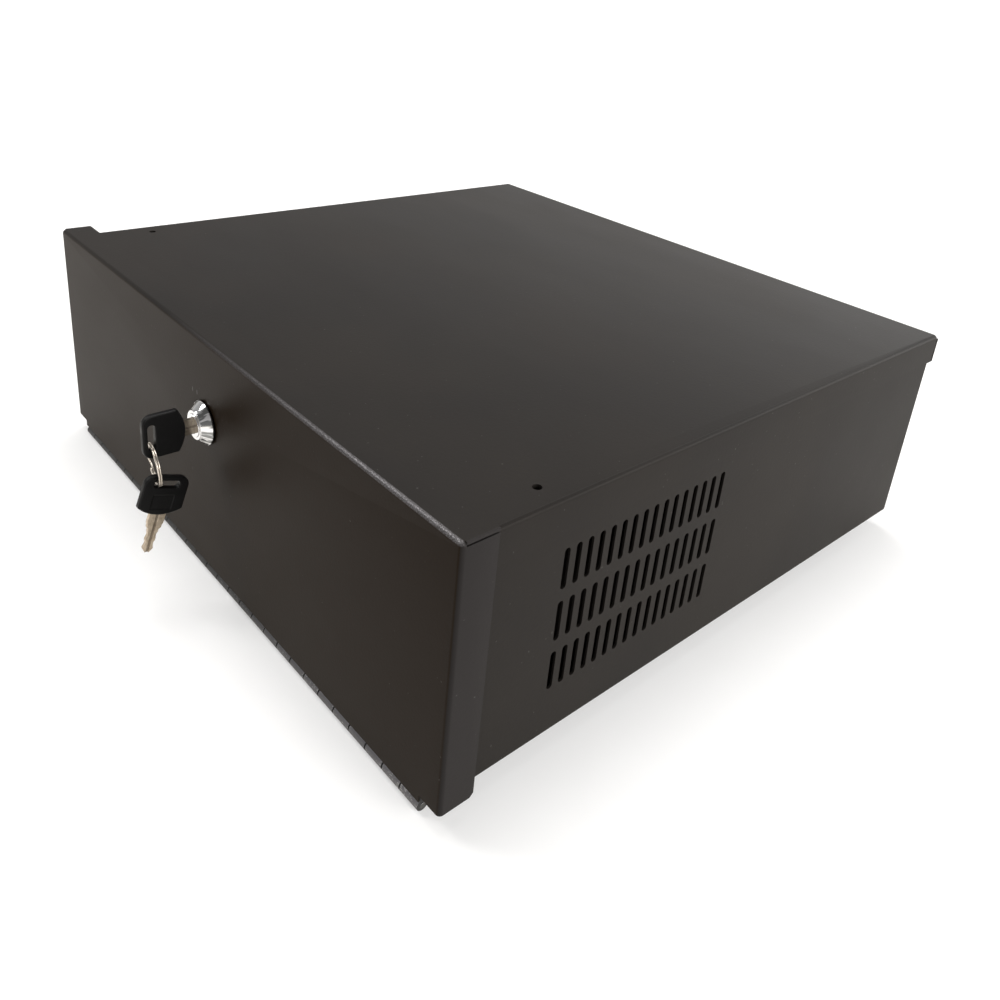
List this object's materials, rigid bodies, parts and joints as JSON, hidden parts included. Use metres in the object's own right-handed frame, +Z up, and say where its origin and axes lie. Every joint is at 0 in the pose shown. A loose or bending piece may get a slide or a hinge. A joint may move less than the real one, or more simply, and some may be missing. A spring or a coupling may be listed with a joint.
{
  "type": "lock box",
  "caption": "Low black sheet-steel lock box with a drop-down front door on a continuous hinge, a chrome cam lock with two keys, side vent slots and rubber feet.",
  "frame": {"origin": "centre of the four floor mounting holes, on the underside of the floor", "axes": "+Z up, -Y towards the door, +X to the right as seen from the front"},
  "size_m": [0.396, 0.4092, 0.1392],
  "materials": {
    "powder_coat": "satin black powder coat with a fine orange-peel texture",
    "hinge_steel": "black coated steel, worn bright on the knuckles",
    "hinge_pin_steel": "drawn steel wire",
    "lock_chrome": "polished chrome plating",
    "zinc": "zinc-plated steel",
    "key_nickel": "worn nickel silver with milled cuts",
    "key_plastic": "moulded black plastic",
    "ring_steel": "plated spring steel wire",
    "rubber": "black moulded rubber"
  },
  "bodies": {
    "case": {"base_tray": "powder_coat", "back_panel": "powder_coat", "top_cover": "powder_coat", "body_hinge_leaf": "hinge_steel", "hinge_pin": "hinge_pin_steel", "front_left_foot": "rubber", "front_right_foot": "rubber", "rear_left_foot": "rubber", "rear_right_foot": "rubber", "foot_screws": "zinc", "foot_nuts": "zinc", "left_grommet": "rubber", "right_grommet": "rubber"},
    "door": {"door_panel": "powder_coat", "door_hinge_leaf": "hinge_steel", "lock_housing": "lock_chrome", "lock_washer": "zinc", "lock_nut": "zinc"},
    "lock_core": {"lock_plug": "lock_chrome", "stop_disc": "zinc", "lock_cam": "zinc", "cam_screw": "zinc"},
    "key": {"key_blade": "key_nickel", "key_bow": "key_plastic"},
    "ring": {"key_ring": "ring_steel"},
    "spare_key": {"spare_key_blade": "key_nickel", "spare_key_bow": "key_plastic"}
  },
  "joints": [
    {"name": "door_hinge", "type": "hinge", "parent": "case", "child": "door", "pos_m": [0, -0.18445, -0.0077], "axis": [1, 0, 0], "range_deg": [0, 90]},
    {"name": "lock_turn", "type": "hinge", "parent": "door", "child": "lock_core", "pos_m": [0, -0.1871, 0.0835], "axis": [0, 1, 0], "range_deg": [0, 90]},
    {"name": "key_slide", "type": "slide", "parent": "lock_core", "child": "key", "axis": [0, -1, 0], "range_m": [0, 0.03]},
    {"name": "ring_swing", "type": "hinge", "parent": "key", "child": "ring", "pos_m": [0, -0.2146, 0.0781], "axis": [0.9903, -0.1386, -0.0121], "range_deg": [-35, 7]},
    {"name": "spare_key_swing", "type": "hinge", "parent": "ring", "child": "spare_key", "pos_m": [0, -0.2128, 0.05758], "axis": [1, 0, 0], "range_deg": [-30, 25]}
  ]
}
